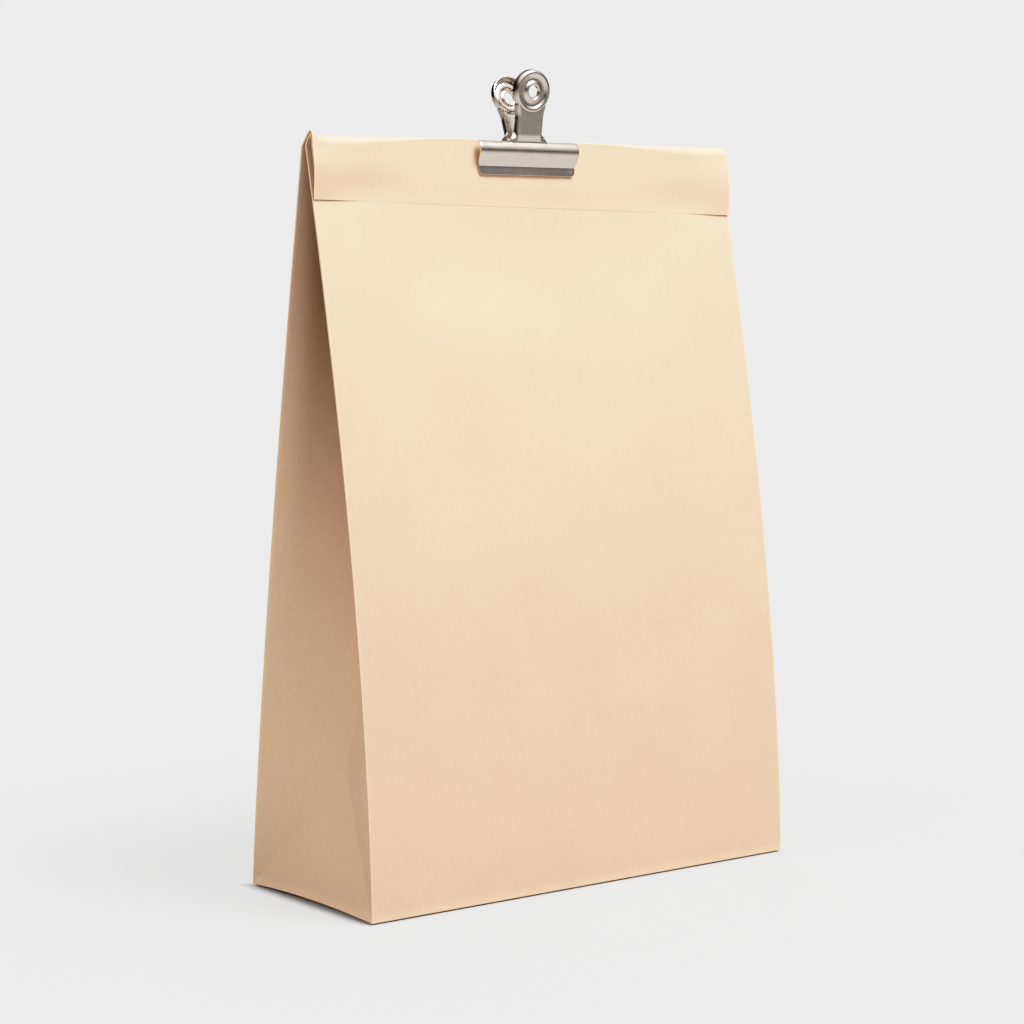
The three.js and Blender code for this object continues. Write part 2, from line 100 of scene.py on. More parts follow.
# Reach of the clip's pull on the paper.
PINCH_HALF, PINCH_REACH = 36.0, 116.0
PINCH_FOOT, PINCH_TOP = 255.0, 347.8
NOTCH_HALF, NOTCH_REACH, NOTCH_DROP = 12.5, 27.0, 7.4
PULL_DEPTH = 0.55

# Dents of the filled panels: depth and breadth, and where each panel's pattern starts.
BROAD_DENT, BROAD_SIZE = 1.5, 95
SMALL_DENT, SMALL_SIZE = 0.45, 34
FRONT_PATTERN, BACK_PATTERN, FLAP_PATTERN = 7, 311, 40
RIPPLE, RIPPLE_SIZE = 0.35, 42
GUSSET_BOW, BOW_SIZE = 1.1, 60

# Gussets and base.
GUSSET_STEPS = 13
CENTRE_STEPS = 12
GUSSET_CROWDING = 1.3
CREASE_ROUND = 1.2
BLOCK_RIM, UPPER_RIM, FOLD_RIM = 0.15, 1.0, 0.9
BASE_LIFT = 0.9
SIDE_ARCH, ARCH_REACH, ARCH_HEIGHT = 1.8, 12, 24
BASE_INSET_X, BASE_INSET_Y, BASE_LAP = 3.5, 2.5, 0.8
BASE_TOP, PLY_STEP, PLY_THICKNESS = 0.65, 0.22, 0.2
# Painted shade in the gussets: full where the front and back plies stand this close (mm), none where
# they stand this far apart.
GUSSET_SHADE_NARROW, GUSSET_SHADE_WIDE = 4, 96

# Clip.
CLIP_TILT = math.radians(6)
STEEL = 0.9
BARREL_HALF = 30.8
BARREL_RADIUS = 5.05
LIP_HALF = 29.95
LIP_CORNER = 2.5
LIP_Y, LIP_FOOT, LIP_BEND = -1.35, -12.2, -8.3
STEP_ANGLE = 212
SPLIT_ANGLE = 146
BARREL_END = 127
BARREL_ROWS = 8
HANDLE_ROWS = 34
HANDLE_HALF = 7.8
HANDLE_ROOT_HALF = 11.8
HANDLE_ROOT = Vector((-5.3, 7.5))
HANDLE_FLARE = 0.235
HANDLE_WALL = 3.2
HANDLE_BEND = 0.9
HANDLE_WIDENING = 1.1
PAD_HEIGHT = 28.1
PAD_SEAT, PAD_SEAT_LOW = 9.3, 6.4
PAD_STEPS = 96
PAD_WALL_RING = 16
PAD_SECTION = (
    (3.3, -0.75), (3.32, -0.2), (3.5, 0.25), (3.85, 0.45), (4.25, 0.38), (4.6, 0.1), (4.9, -0.3),
    (5.3, -0.55), (5.8, -0.62), (6.6, -0.62), (7.3, -0.58), (7.8, -0.36), (8.2, -0.02),
    (8.6, 0.2), (9.05, 0.28), (9.5, 0.24), (9.85, 0.05), (10.1, -0.25), (10.25, -0.65),
    (10.3, -1.1), (10.3, -2.1), (10.3, -3.0),
)
PIN_RADIUS = 1.5
PIN_HEAD, PIN_PLAY = 0.6, 0.3
EAR_RADIUS = 3.2
EAR_PLAY = 0.12
EAR_WEB_START, EAR_WEB_END, EAR_WEB_SHARE = -1.2, -4.7, 0.75
FRONT_EAR_X, REAR_EAR_X = 9.0, 7.8
SPRING_RADIUS = 2.75
SPRING_WIRE = 0.55
SPRING_TURNS = 7
SPRING_HALF = 5.9
SPRING_LEG = (
    (-5.6, 15), (-4.9, 11.8), (-4.35, 9.4), (-3.4, 7.9), (-2.4, 6.6), (-1.6, 5.5), (-1.2, 4.6),
    (-1.1, 3.8), (-1.35, 3.1),
)

# Finishes: how far a material's brightness varies, low to high, and each pattern's scale.
CLOUD_SCALE, CLOUD_RANGE = 22, (0.975, 1.025)
PULP_SCALE, PULP_RANGE = 420, (0.965, 1.035)
FIBRE_SCALE, FIBRE_RANGE = 1500, (0.96, 1.04)
SPECK_SCALE, SPECK_DARKNESS = 1100, 0.86
COCKLE_SCALE, GRAIN_SCALE, GRAIN_SHARE = 55, 1300, 0.12
PAPER_ROUGHNESS = (0.5, 0.62)
DRAW_LINE_SCALE, PATCH_SCALE = 900, 160
# Painted shade: the paper colour is scaled by this deep in narrow gussets, darker and browner where
# little light reaches.
GUSSET_SHADE_TINT = (0.3, 0.2, 0.1)
# Folds and the bottom edge are paler, partly from rubbed paper and partly a painted highlight.
FOLD_BRIGHTNESS = 1.16
WIRE_COLOUR, WIRE_ROUGHNESS = (0.42, 0.4, 0.38), 0.34

# Studio, in metres and watts.
GLOW_BASE, GLOW_STRENGTH, GLOW_SOFTNESS = 0.07, 1.4, 2.0
GLEAM_STRENGTH, GLEAM_SOFTNESS = 2.8, 3.5
GLOW_DIRECTION = (0.1, -0.35, 1.0)
KEY_PLACE, KEY_SIZE = (0.25, -0.72, 1.5), 0.7
SIDE_PLACE, SIDE_SIZE = (-1.25, -0.02, 0.85), 0.5
BACK_PLACE, BACK_SIZE, BACK_SHARE = (0.7, 1.3, 0.9), 0.9, 1.7
FLOOR_FADE_START, FLOOR_FADE_END, FLOOR_FADE_LOW = 0.16, 0.42, 0.72
CONTACT_WIDTH = 0.006
CAMERA_PLACE = (-0.8161, -1.0457, 0.3021)
CAMERA_DIP, CAMERA_TURN = 5.17, -37.7
LENS, SENSOR = 93.0, 36

# Display shoulder: scene brightness and the brightness shown for it.
WHITE_LEVEL = 2.2
SHOULDER = ((0.1, 0.1), (0.25, 0.25), (0.5, 0.49), (0.7, 0.63), (0.9, 0.75), (1.1, 0.84), (1.4, 0.9))


# --- Numbers --------------------------------------------------------------------------------

def lerp(start, end, share):
    return start + (end - start) * share


def smoothstep(value, low, high):
    share = min(max((value - low) / (high - low), 0.0), 1.0)
    return share * share * (3 - 2 * share)


def spread(start, end, count):
    """Evenly spaced values, both ends included."""
    return [lerp(start, end, i / (count - 1)) for i in range(count)]


def wander(x, y, z, size):
    """Smooth random value between about -1 and 1 that changes over the given size."""
    return noise.noise(Vector((x, y, z)) / size)


# --- Meshes ---------------------------------------------------------------------------------

def deselect_all():
    if bpy.context.mode != "OBJECT":
        bpy.ops.object.mode_set(mode="OBJECT")
    bpy.ops.object.select_all(action="DESELECT")


def pick(piece):
    """Leaves this piece alone selected and active."""
    deselect_all()
    piece.select_set(True)
    bpy.context.view_layer.objects.active = piece


def named(name):
    piece = bpy.context.active_object
    piece.name = name
    piece.data.name = name
    return piece


def flat_sheet(name, columns, rows, place):
    """A flat grid shaped by moving each point to where place(column, row) says."""
    deselect_all()
    bpy.ops.mesh.primitive_grid_add(
        x_subdivisions=columns - 1, y_subdivisions=rows - 1, size=1)
    piece = named(name)
    if len(piece.data.vertices) != columns * rows:
        raise RuntimeError(f"{name}: the grid has {len(piece.data.vertices)} points")
    for index, vertex in enumerate(piece.data.vertices):
        row, column = divmod(index, columns)
        vertex.co = place(column, row) * MM
    return piece


def edit(piece, *steps):
    """Runs edit-mode steps on the whole of a piece."""
    pick(piece)
    bpy.ops.object.mode_set(mode="EDIT")
    bpy.ops.mesh.select_mode(type="VERT")
    bpy.ops.mesh.select_all(action="SELECT")
    for step in steps:
        step()
    bpy.ops.object.mode_set(mode="OBJECT")


def merge_points():
    bpy.ops.mesh.remove_doubles(threshold=0.00001)


def face_outwards():
    bpy.ops.mesh.normals_make_consistent(inside=False)


def close_holes():
    bpy.ops.mesh.select_all(action="SELECT")
    bpy.ops.mesh.fill_holes(sides=0)
    bpy.ops.mesh.select_all(action="SELECT")


def modify(piece, kind, **settings):
    pick(piece)
    modifier = piece.modifiers.new(kind.title(), kind)
    for name, value in settings.items():
        setattr(modifier, name, value)
    bpy.ops.object.modifier_apply(modifier=modifier.name)


def smooth(piece, degrees):
    pick(piece)
    bpy.ops.object.shade_smooth_by_angle(angle=math.radians(degrees))


def turned(name, profile, place, steps=96, closed=False):
    """A circle drawn out ring by ring: profile holds (radius, height), place(point) stands it up."""
    deselect_all()
    bpy.ops.mesh.primitive_circle_add(vertices=steps, radius=1)
    piece = named(name)
    bpy.ops.object.mode_set(mode="EDIT")
    bpy.ops.mesh.select_mode(type="VERT")
    bpy.ops.mesh.select_all(action="SELECT")
    for _ in profile[1:]:
        bpy.ops.mesh.extrude_region_move()
    bpy.ops.object.mode_set(mode="OBJECT")
    for index, vertex in enumerate(piece.data.vertices):
        ring, corner = divmod(index, steps)
        radius, height = profile[ring]
        angle = TURN * corner / steps
        point = Vector((radius * math.cos(angle), radius * math.sin(angle), height))
        vertex.co = place(point) * MM
    if closed:
        edit(piece, close_holes, face_outwards)
    return piece


def delete_faces(piece, unwanted):
    """Deletes the faces for which unwanted(face) is true."""
    edit(piece, lambda: bpy.ops.mesh.select_all(action="DESELECT"))
    for face in piece.data.polygons:
        face.select = unwanted(face)
    bpy.ops.object.mode_set(mode="EDIT")
    bpy.ops.mesh.select_mode(type="FACE")
    bpy.ops.mesh.delete(type="FACE")
    bpy.ops.object.mode_set(mode="OBJECT")


def join(pieces):
    deselect_all()
    for piece in pieces:
        piece.select_set(True)
    bpy.context.view_layer.objects.active = pieces[0]
    bpy.ops.object.join()
    return pieces[0]


def finish_piece(piece, material, body, slot, *nodes):
    piece.data.materials.clear()
    piece.data.materials.append(material)
    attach(piece, body)
    if nodes:
        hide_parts(*nodes)


# --- Materials ------------------------------------------------------------------------------

def new_material(name):
    material = bpy.data.materials.new(name)
    material.use_nodes = True
    return material, material.node_tree, material.node_tree.nodes["Principled BSDF"]


def noise_texture(tree, scale, detail=2.0, roughness=0.5, stretch=None):
    place = tree.nodes.new("ShaderNodeTexCoord")
    texture = tree.nodes.new("ShaderNodeTexNoise")
    texture.inputs["Scale"].default_value = scale
    texture.inputs["Detail"].default_value = detail
    texture.inputs["Roughness"].default_value = roughness
    source = place.outputs["Object"]
    if stretch:
        mapping = tree.nodes.new("ShaderNodeMapping")
        mapping.inputs["Scale"].default_value = stretch
        tree.links.new(source, mapping.inputs["Vector"])
        source = mapping.outputs["Vector"]
    tree.links.new(source, texture.inputs["Vector"])
    return texture.outputs["Fac"]


def remap(tree, source, low, high, to_low, to_high):
    node = tree.nodes.new("ShaderNodeMapRange")
    for name, value in (("From Min", low), ("From Max", high), ("To Min", to_low), ("To Max", to_high)):
        node.inputs[name].default_value = value
    tree.links.new(source, node.inputs["Value"])
    return node.outputs["Result"]


def combine(tree, operation, first, second):
    node = tree.nodes.new("ShaderNodeMath")
    node.operation = operation
    for socket, value in zip(node.inputs, (first, second)):
        if isinstance(value, (int, float)):
            socket.default_value = value
        else:
            tree.links.new(value, socket)
    return node.outputs[0]


def shade_colour(tree, colour, factor):
    """A plain or varying colour times a varying brightness."""
    node = tree.nodes.new("ShaderNodeVectorMath")
    node.operation = "SCALE"
    if isinstance(colour, bpy.types.NodeSocket):
        tree.links.new(colour, node.inputs[0])
    else:
        node.inputs[0].default_value = colour[:3]
    tree.links.new(factor, node.inputs["Scale"])
    return node.outputs["Vector"]


def stored(tree, name):
    """The value that a piece stores on its own points."""
    node = tree.nodes.new("ShaderNodeAttribute")
    node.attribute_name = name
    return node.outputs["Fac"]


def bump(tree, shader, height, strength, distance):
    node = tree.nodes.new("ShaderNodeBump")
    node.inputs["Strength"].default_value = strength
    node.inputs["Distance"].default_value = distance
    tree.links.new(height, node.inputs["Height"])
    tree.links.new(node.outputs["Normal"], shader.inputs["Normal"])


def kraft_material(name, colour):
    """Unbleached paper: cloudy pulp, short fibres, a few dark specks, folds paler from rubbing and a
    painted highlight, and painted shade deep in the gussets.
    """
    material, tree, shader = new_material(name)
    cloud = remap(tree, noise_texture(tree, CLOUD_SCALE, 3), 0.3, 0.7, *CLOUD_RANGE)
    pulp = remap(tree, noise_texture(tree, PULP_SCALE, 4, 0.65), 0.3, 0.7, *PULP_RANGE)
    fibre = remap(tree, noise_texture(tree, FIBRE_SCALE, 3, 0.7, (1, 1, 0.25)), 0.3, 0.7, *FIBRE_RANGE)
    speck = remap(tree, noise_texture(tree, SPECK_SCALE, 1), 0.74, 0.8, 1.0, SPECK_DARKNESS)
    # Folds paler: partly rubbed paper, partly a painted highlight.
    worn_and_lit = remap(tree, stored(tree, "fold_wear_and_highlight"), 0.0, 1.0, 1.0, FOLD_BRIGHTNESS)
    factor = combine(tree, "MULTIPLY", cloud, pulp)
    for layer in (fibre, speck, worn_and_lit):
        factor = combine(tree, "MULTIPLY", factor, layer)
    # Painted shade: deep in the narrow gussets the paper colour is mixed towards a darker, browner
    # copy.
    gusset_shade_colour = [channel * tint for channel, tint in zip(colour, GUSSET_SHADE_TINT)]
    paper = tree.nodes.new("ShaderNodeMixRGB")
    paper.inputs["Color1"].default_value = (*colour, 1)
    paper.inputs["Color2"].default_value = (*gusset_shade_colour, 1)
    tree.links.new(stored(tree, "gusset_painted_shade"), paper.inputs["Fac"])
    tree.links.new(shade_colour(tree, paper.outputs["Color"], factor), shader.inputs["Base Color"])
    tree.links.new(remap(tree, fibre, *FIBRE_RANGE, *PAPER_ROUGHNESS), shader.inputs["Roughness"])
    shader.inputs["Specular IOR Level"].default_value = 0.5
    cockle = noise_texture(tree, COCKLE_SCALE, 2)
    grain = noise_texture(tree, GRAIN_SCALE, 3, 0.7)
    height = combine(tree, "ADD", cockle, combine(tree, "MULTIPLY", grain, GRAIN_SHARE))
    bump(tree, shader, height, 0.35, 0.0006)
    return material


def steel_material(name, colour, roughness):
    """Nickel-plated sheet: faint draw lines along the barrel and soft wear in its gloss."""
    material, tree, shader = new_material(name)
    lines = noise_texture(tree, DRAW_LINE_SCALE, 3, 0.6, (0.05, 1, 1))
    patches = noise_texture(tree, PATCH_SCALE, 2)
    tint = remap(tree, patches, 0.3, 0.7, 0.95, 1.05)
    tree.links.new(shade_colour(tree, colour, tint), shader.inputs["Base Color"])
    gloss = combine(tree, "ADD", remap(tree, lines, 0.3, 0.7, -0.04, 0.05),
                    remap(tree, patches, 0.3, 0.7, roughness - 0.03, roughness + 0.03))
    tree.links.new(gloss, shader.inputs["Roughness"])
    shader.inputs["Metallic"].default_value = 1.0
    bump(tree, shader, lines, 0.05, 0.0001)
    return material


# --- Bag ------------------------------------------------------------------------------------

def front_panel_y(z):
    return -DEPTH / 2 + FRONT_LEAN * (z / FRONT_LEAN_HEIGHT) ** FRONT_LEAN_POWER


def back_panel_y(z):
    return DEPTH / 2 - BACK_LEAN * (z / BACK_LEAN_HEIGHT) ** BACK_LEAN_POWER


def clamp_y(z):
    """Middle plane of the leaning clip."""
    return HINGE.y + (z - HINGE.z) * math.tan(CLIP_TILT)


def pinch(x, z):
    """1 where the jaws hold the paper flat, fading to 0 sideways and downwards."""
    across = 1 - smoothstep(abs(x - HINGE.x), PINCH_HALF, PINCH_REACH)
    return across * smoothstep(z, PINCH_FOOT, PINCH_TOP)


def fold_top(x):
    """Height of the fold: pressed down in the clip, lofted beside it, less so at the left."""
    beside = abs(x - HINGE.x)
    reach = smoothstep(beside, NOTCH_HALF, NOTCH_REACH)
    full_loft = FOLD_LOFT - LEFT_LOFT_LOSS * smoothstep(-x, LEFT_START, LEFT_FULL)
    loft = smoothstep(beside, LOFT_START, LOFT_FULL) * full_loft
    return FOLD_HEIGHT - NOTCH_DROP * (1 - reach) + loft


def flap_foot(x):
    """Height of the flap's lower edge: the bag was folded a little askew."""
    return FLAP_FOOT + FOOT_RISE - FOOT_SKEW * x / (WIDTH / 2)


def panel_dent(x, z, pattern):
    """Gentle hollows and swells of a filled paper panel, none at its edges."""
    edge = smoothstep(WIDTH / 2 - abs(x), 0, 38) * smoothstep(z, 4, 60)
    fade = edge * (1 - 0.75 * smoothstep(z, 270, 330)) * (1 - pinch(x, z))
    broad = BROAD_DENT * wander(x, pattern, z, BROAD_SIZE)
    small = SMALL_DENT * wander(x + 40, pattern, z * 0.8, SMALL_SIZE)
    return fade * (broad + small)


def clip_pull(x, z):
    """Faint hollows that fan out below the clip, where the paper is gathered."""
    reach = smoothstep(z, 170, 300) * (1 - smoothstep(z, 318, 336))
    fan = (x - HINGE.x) / (1 + (PINCH_TOP - z) / 55)
    return PULL_DEPTH * reach * math.cos(fan / 9) * (1 - smoothstep(abs(fan), 20, 42))


def body_front(x, z):
    free = front_panel_y(z) + panel_dent(x, z, FRONT_PATTERN) + clip_pull(x, z)
    return lerp(free, clamp_y(z) + CLAMPED_FRONT, pinch(x, z))


def body_back(x, z):
    free = back_panel_y(z) + panel_dent(x, z, BACK_PATTERN)
    return lerp(free, clamp_y(z) + CLAMPED_BACK, pinch(x, z))


def flap_ripple(x, z):
    """Slight waves in the flap, none at its fold and its foot."""
    share = (FOLD_HEIGHT - z) / (FOLD_HEIGHT - flap_foot(x))
    return RIPPLE * wander(x, FLAP_PATTERN, z, RIPPLE_SIZE) * math.sin(math.pi * min(max(share, 0), 1))


def flap_hang(x, z):
    """The free flap: it leaves the body softly in the middle and stands off it at both ends."""
    foot = flap_foot(x)
    rise = max(z - foot, 0.0)
    share = min(rise / (FOLD_HEIGHT - foot), 1.0)
    foot_y = body_front(x, foot)
    body_lean = body_front(x, foot + 1) - foot_y
    curl = min(rise, FOOT_CURL)
    soft = foot_y - FOOT_STANDOFF + body_lean * (curl - curl ** 2 / (2 * FOOT_CURL))
    end = smoothstep(abs(x), FLAP_END, WIDTH / 2)
    lower = lerp(soft, foot_y - END_STANDOFF, end)
    bow = FLAP_BOW * math.sin(math.pi * share) ** 2
    return lerp(lower, FLAP_TOP_Y, share ** FLAP_CURVE) - bow


def flap_front(x, z):
    foot = flap_foot(x)
    share = (z - foot) / (FOLD_HEIGHT - foot)
    hang = flap_hang(x, z) + flap_ripple(x, z)
    clamped = lerp(body_front(x, z) - 0.1, clamp_y(z) + CLAMPED_FLAP_FRONT, smoothstep(share, 0, 0.4))
    return lerp(hang, clamped, smoothstep(pinch(x, z), 0, 0.9))


def flap_back(x, z):
    foot = flap_foot(x)
    share = (z - foot) / (FOLD_HEIGHT - foot)
    gap = lerp(FLAP_FOOT_GAP, FLAP_TOP_GAP, share)
    free = flap_front(x, z) + lerp(gap, CLAMPED_FLAP_BACK - CLAMPED_FLAP_FRONT, pinch(x, z))
    return min(free, body_front(x, z) - PLY_CLEARANCE)


class TubeRow:
    """One line round the paper tube: its front and back panel points for any x."""

    def __init__(self, part, share):
        self.part = part
        self.share = share

    def loop_base(self, x):
        return fold_top(x) - lerp(LOOP_HEIGHT, SQUEEZED_LOOP, pinch(x, FOLD_HEIGHT))

    def panels(self, x):
        base = self.loop_base(x)
        if self.part == "body":
            level = self.share
            z = level if level < SQUEEZE_START else lerp(
                SQUEEZE_START, base, (level - SQUEEZE_START) / (FOLD_HEIGHT - SQUEEZE_START))
            return Vector((x, body_front(x, z), z)), Vector((x, body_back(x, z), z))
        if self.part == "flap":
            z = lerp(base, flap_foot(x), self.share)
            return Vector((x, flap_back(x, z), z)), Vector((x, flap_front(x, z), z))
        return self.loop_plies(x, base)

    def loop_plies(self, x, base):
        """The two plies over the top of the fold; the left end gapes and flares a little."""
        angle = math.pi * self.share
        outer_height = fold_top(x) - base
        inner_height = lerp(LOOP_INNER_HEIGHT, SQUEEZED_INNER_LOOP, pinch(x, FOLD_HEIGHT))
        back = body_back(x, base)
        front = flap_front(x, base)
        inner_back = body_front(x, base)
        inner_front = flap_back(x, base)
        mouth = smoothstep(-x, MOUTH_START, WIDTH / 2)
        rise = lerp(math.sin(angle), math.sin(math.pi * self.share ** MOUTH_POWER), mouth)
        swing = math.cos(angle)
        flare = MOUTH_FLARE * mouth * rise
        outer = Vector((x, (back + front) / 2 + (back - front) / 2 * swing,
                        base + outer_height * rise + flare))
        inner = Vector((x, (inner_back + inner_front) / 2 + (inner_back - inner_front) / 2 * swing,
                        base + inner_height * rise + flare * INNER_FLARE))
        return inner, outer

    def gusset_depth(self):
        front, back = self.panels(WIDTH / 2)
        half_gap = (back - front).length / 2
        return math.sqrt(max((DEPTH / 2) ** 2 - half_gap ** 2, 0))


def tube_rows():
    levels = [0, CREASE_ROUND] + spread(5, BLOCK_HEIGHT, 16) + spread(66, SQUEEZE_START, 64)
    levels += spread(SQUEEZE_START, FOLD_HEIGHT, 15)[1:]
    rows = [TubeRow("body", level) for level in levels]
    rows += [TubeRow("loop", share) for share in spread(0, 1, 19)[1:-1]]
    rows += [TubeRow("flap", share) for share in spread(0, 1, 13)]
    return rows


def panel_stations():
    """x of the columns across a panel, closer together towards the two creases."""
    edge = WIDTH / 2
    inner = spread(-edge + 3, edge - 3, 72)
    return [-edge, -edge + CREASE_ROUND] + inner + [edge - CREASE_ROUND, edge]


def tube_columns():
    """Front panel, right gusset, back panel and left gusset, one after the other."""
    stations = panel_stations()
    shares = [0.0] + [(i / GUSSET_STEPS) ** GUSSET_CROWDING for i in range(1, GUSSET_STEPS + 1)]
    gusset = [("near", share) for share in shares]
    gusset += [("centre", i / CENTRE_STEPS) for i in range(1, CENTRE_STEPS)]
    gusset += [("far", share) for share in reversed(shares)]
    columns = [("front", x) for x in stations]
    columns += [("right", *step) for step in gusset]
    columns += [("back", x) for x in reversed(stations)]
    columns += [("left", *step) for step in reversed(gusset)]
    return columns + [("front", stations[0])]


def rim_width(row):
    """How far the paper rounds over at a gusset crease before it turns inwards."""
    if row.part == "body":
        return lerp(BLOCK_RIM, UPPER_RIM, smoothstep(row.share, 90, 330))
    return FOLD_RIM


def gusset_point(side, part, share, row):
    """A point of the gusset at the side (+1 right): share 0 is at a panel, 1 at a crease."""
    edge = side * WIDTH / 2
    if row.part == "body" and row.share < BLOCK_HEIGHT:
        front, back = row.panels(edge)
        top_row = TubeRow("body", BLOCK_HEIGHT)
        top_front, top_back = top_row.panels(edge)
        apex = (top_front + top_back) / 2
        apex.x = side * (WIDTH / 2 - top_row.gusset_depth())
        rise = row.share / BLOCK_HEIGHT
        low_front, low_back = TubeRow("body", 0).panels(edge)
        near_crease = low_front.lerp(apex, rise)
        far_crease = low_back.lerp(apex, rise)
        inset = (back - front).normalized() * rim_width(row)
        if part == "near":
            return (front + inset).lerp(near_crease, share)
        if part == "far":
            return (back - inset).lerp(far_crease, share)
        return near_crease.lerp(far_crease, share)
    depth = row.gusset_depth()
    reach = 1.0 if part == "centre" else share
    x = side * (WIDTH / 2 - depth * reach)
    front, back = row.panels(x)
    middle = (front + back) / 2
    bow = 0.0
    if row.part == "body":
        open_gap = min((back.y - front.y) / DEPTH, 1)
        waves = wander(side * 50, share * 30, row.share, BOW_SIZE)
        bow = GUSSET_BOW * open_gap * waves * math.sin(math.pi * reach)
    ply = front if part == "near" else back
    rim = min(rim_width(row), (back - front).length * 0.3)
    start = ply + (middle - ply).normalized() * rim * (1 if part != "centre" else 0)
    point = start.lerp(middle, reach)
    return point + Vector((side * bow, 0, 0))


def base_lift(point):
    """The side edges of the base arch a little off the ground between the corners."""
    side = smoothstep(abs(point.x), WIDTH / 2 - ARCH_REACH, WIDTH / 2)
    along = 1 - (point.y / (DEPTH / 2)) ** 2
    return SIDE_ARCH * side * max(along, 0) * (1 - smoothstep(point.z, 0, ARCH_HEIGHT))


def tube_point(column, row):
    side = column[0]
    if side in ("front", "back"):
        point = row.panels(column[1])[side == "back"]
    else:
        point = gusset_point(1 if side == "right" else -1, column[1], column[2], row)
    if row.part == "body" and row.share <= BLOCK_HEIGHT:
        lift = base_lift(point) + BASE_LIFT * (1 - row.share / BLOCK_HEIGHT)
        point = point + Vector((0, 0, lift))
    return point


def mark_fold_wear_and_highlight(piece, columns):
    """Stores 1 on the folds and 0 elsewhere, for paler rubbed paper and a painted highlight there."""
    creases = {index for index, column in enumerate(columns) if is_crease(column)}
    attribute = piece.data.attributes.new("fold_wear_and_highlight", "FLOAT", "POINT")
    for index, value in enumerate(attribute.data):
        row, column = divmod(index, len(columns))
        value.value = 1.0 if column in creases or row < 2 else 0.0


def is_crease(column):
    if column[0] in ("front", "back"):
        return abs(abs(column[1]) - WIDTH / 2) < 0.01
    return column[1] != "centre" and column[2] == 0.0


def mark_gusset_painted_shade(piece, columns, rows):
    """Stores how deep in a narrow gusset a point lies, for painted shade that darkens and browns the
    paper there.
    """
    attribute = piece.data.attributes.new("gusset_painted_shade", "FLOAT", "POINT")
    for index, value in enumerate(attribute.data):
        row, column = divmod(index, len(columns))
        side = columns[column]
        in_block = rows[row].part == "body" and rows[row].share < BLOCK_HEIGHT
        if side[0] in ("front", "back") or in_block:
            continue
        front, back = rows[row].panels(WIDTH / 2)
        narrow = 1 - smoothstep((back - front).length, GUSSET_SHADE_NARROW, GUSSET_SHADE_WIDE)
        reach = 1.0 if side[1] == "centre" else smoothstep(side[2], -0.02, 0.32)
        value.value = narrow * reach


def build_bag(colour):
    rows = tube_rows()
    columns = tube_columns()
    piece = flat_sheet("kraft_bag", len(columns), len(rows),
                       lambda column, row: tube_point(columns[column], rows[row]))
    # Marks for paler folds with a painted highlight, and for painted shade in the gussets.
    mark_fold_wear_and_highlight(piece, columns)
    mark_gusset_painted_shade(piece, columns, rows)
    edit(piece, merge_points, close_holes, face_outwards)
    smooth(piece, 22)
    finish_piece(piece, kraft_material("kraft_paper", colour), "bag", "kraft_paper", "paper_bag")


# --- Base -----------------------------------------------------------------------------------

def build_base(colour):
    """Folded underside: two end squares, then the front and back flaps lapped over them."""
    half_x = WIDTH / 2 - BASE_INSET_X
    half_y = DEPTH / 2 - BASE_INSET_Y
    tuck = DEPTH / 2
    lap = tuck * BASE_LAP
    plies = [
        [(-half_x, -half_y), (half_x, -half_y), (half_x, half_y), (-half_x, half_y)],
        [(-half_x, half_y), (-half_x + lap, -8), (half_x - lap, -8), (half_x, half_y)],
        [(-half_x, -half_y), (half_x, -half_y), (half_x - tuck, 10), (-half_x + tuck, 10)],
    ]
    sheets = []
    for level, outline in enumerate(plies):
        deselect_all()
        bpy.ops.mesh.primitive_plane_add(size=1)
        sheet = named(f"base_ply_{level}")
        corners = [outline[i] for i in (0, 1, 3, 2)]
        for vertex, (x, y) in zip(sheet.data.vertices, corners):
            vertex.co = Vector((x, y, BASE_TOP - PLY_STEP * level)) * MM
        modify(sheet, "SOLIDIFY", thickness=PLY_THICKNESS * MM, offset=0)
        modify(sheet, "BEVEL", width=0.05 * MM, segments=2)
        sheets.append(sheet)
    piece = join(sheets)
    piece.name = "folded_base"
    smooth(piece, 40)
    finish_piece(piece, kraft_material("kraft_base", colour), "bag", "kraft_paper", "paper_bag")


# --- Clip -----------------------------------------------------------------------------------

def stand_clip(point, rear=False):
    """From the clip's own frame, hinge at the origin, to its leaning place on the bag."""
    turned_round = Matrix.Rotation(HALF_TURN, 3, "Z") @ point if rear else point
    return Matrix.Rotation(-CLIP_TILT, 3, "X") @ turned_round + HINGE


def curve_points(start, start_pull, end_pull, end, count):
    """Points of a cubic curve, its first end left out."""
    points = []
    for share in spread(0, 1, count + 1)[1:]:
        rest = 1 - share
        points.append(start * rest ** 3 + start_pull * 3 * rest ** 2 * share
                      + end_pull * 3 * rest * share ** 2 + end * share ** 3)
    return points


def barrel_point(degrees):
    angle = math.radians(degrees)
    return Vector((math.cos(angle), math.sin(angle))) * BARREL_RADIUS


def jaw_profile():
    """Section of lip, step and barrel up to where the handle leaves, as (y, z) points."""
    lip = [Vector((LIP_Y, LIP_FOOT + rise)) for rise in (0, 0.25, 0.6, 1.1, 1.7, LIP_CORNER)]
    lip.append(Vector((LIP_Y, LIP_BEND)))
    knee = curve_points(lip[-1], Vector((LIP_Y, -7.7)), Vector((-1.5, -7.6)), Vector((-1.85, -7.1)), 4)
    step = [knee[-1].lerp(barrel_point(STEP_ANGLE), share) for share in spread(0, 1, 5)[1:-1]]
    barrel = [barrel_point(degrees) for degrees in spread(STEP_ANGLE, SPLIT_ANGLE, 16)]
    return lip + knee + step + barrel


